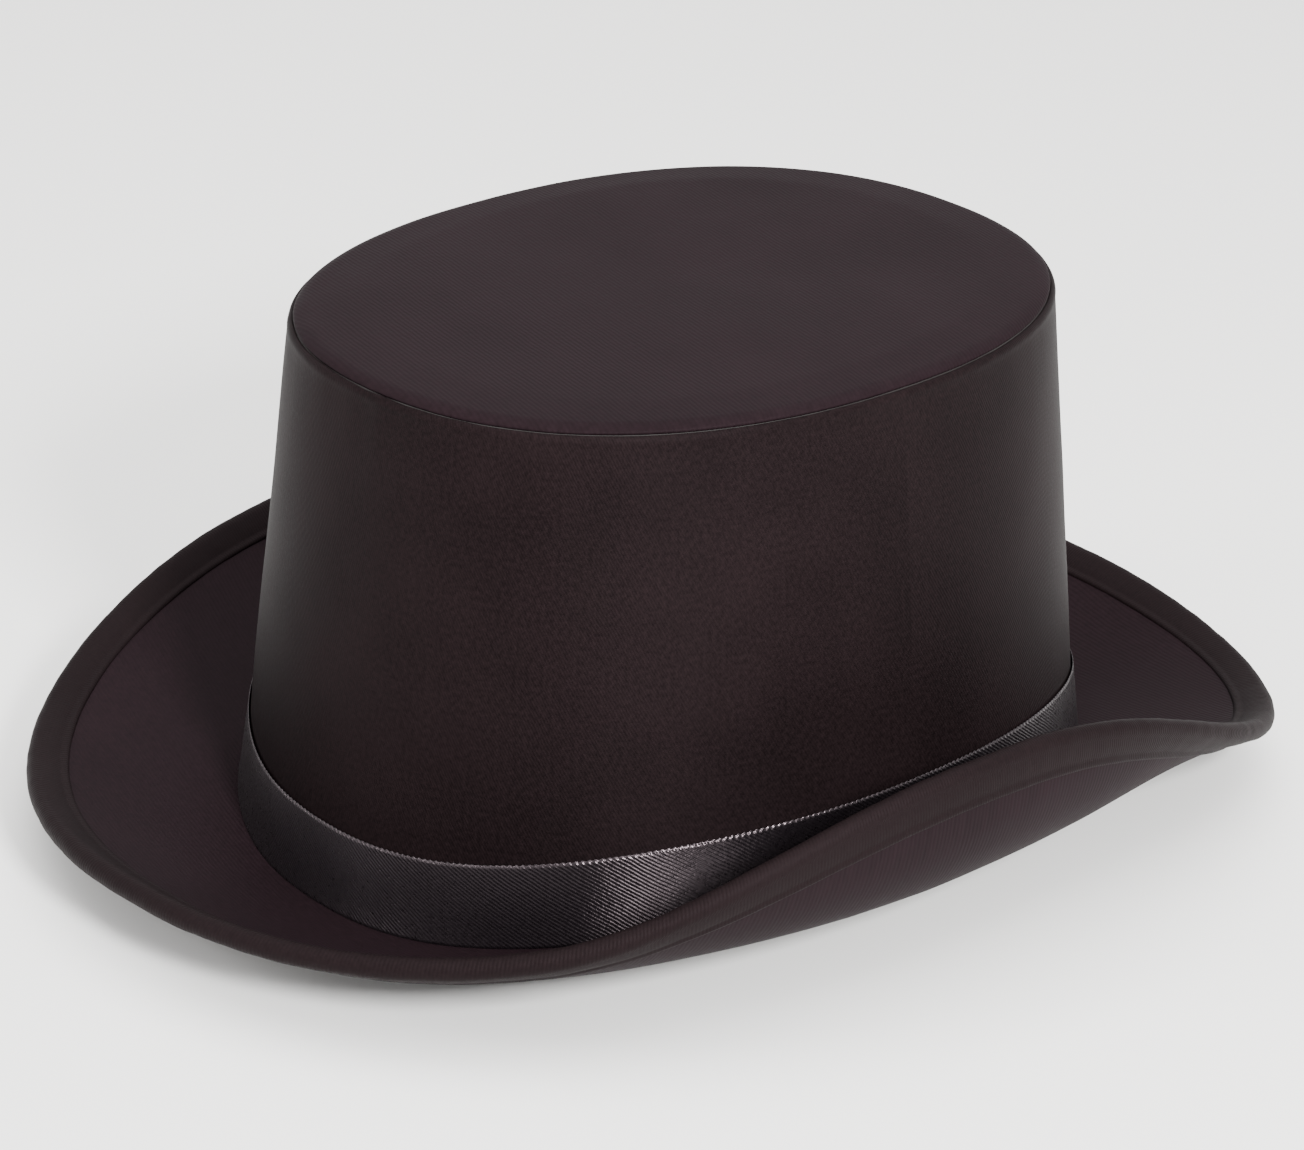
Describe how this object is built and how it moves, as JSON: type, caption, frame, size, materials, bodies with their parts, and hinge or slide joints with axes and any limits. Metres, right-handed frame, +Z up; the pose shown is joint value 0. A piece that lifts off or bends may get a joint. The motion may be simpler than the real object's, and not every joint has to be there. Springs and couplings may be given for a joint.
{
  "type": "top hat",
  "caption": "Low-crowned satin top hat with a glossy ribbon band, a curled and bound brim, a lining and a sweatband.",
  "frame": {"origin": "centre of the head opening, on the surface that the hat stands on", "axes": "+Z up through the crown, -Y to the front of the hat, +X to the wearer's left"},
  "size_m": [0.2525, 0.3048, 0.1299],
  "materials": {
    "crown_satin": "black polyester satin, diagonal twill face, glued to the crown",
    "brim_satin": "black polyester satin, bonded to both faces of the brim",
    "binding_satin": "black satin strip, folded and stitched over the rim",
    "ribbon": "black satin ribbon, glossier than the crown",
    "lining": "thin black woven polyester lining",
    "sweatband": "black woven band, pressed and stitched",
    "label": "blank white woven tape",
    "board": "stiff pressed foam board, matt black",
    "wire": "drawn spring steel wire",
    "wire_joiner": "crimped steel tube"
  },
  "bodies": {
    "root": {"crown_side_board": "board", "crown_tip_board": "board", "crown_side_cover": "crown_satin", "crown_tip_cover": "crown_satin", "crown_side_lining": "lining", "crown_tip_lining": "lining", "brim_board": "board", "brim_top_cover": "brim_satin", "brim_under_cover": "brim_satin", "brim_wire": "wire", "brim_wire_joiner": "wire_joiner", "brim_binding": "binding_satin", "hat_band": "ribbon", "hat_band_join": "ribbon", "sweatband": "sweatband", "care_label": "label"}
  },
  "joints": []
}
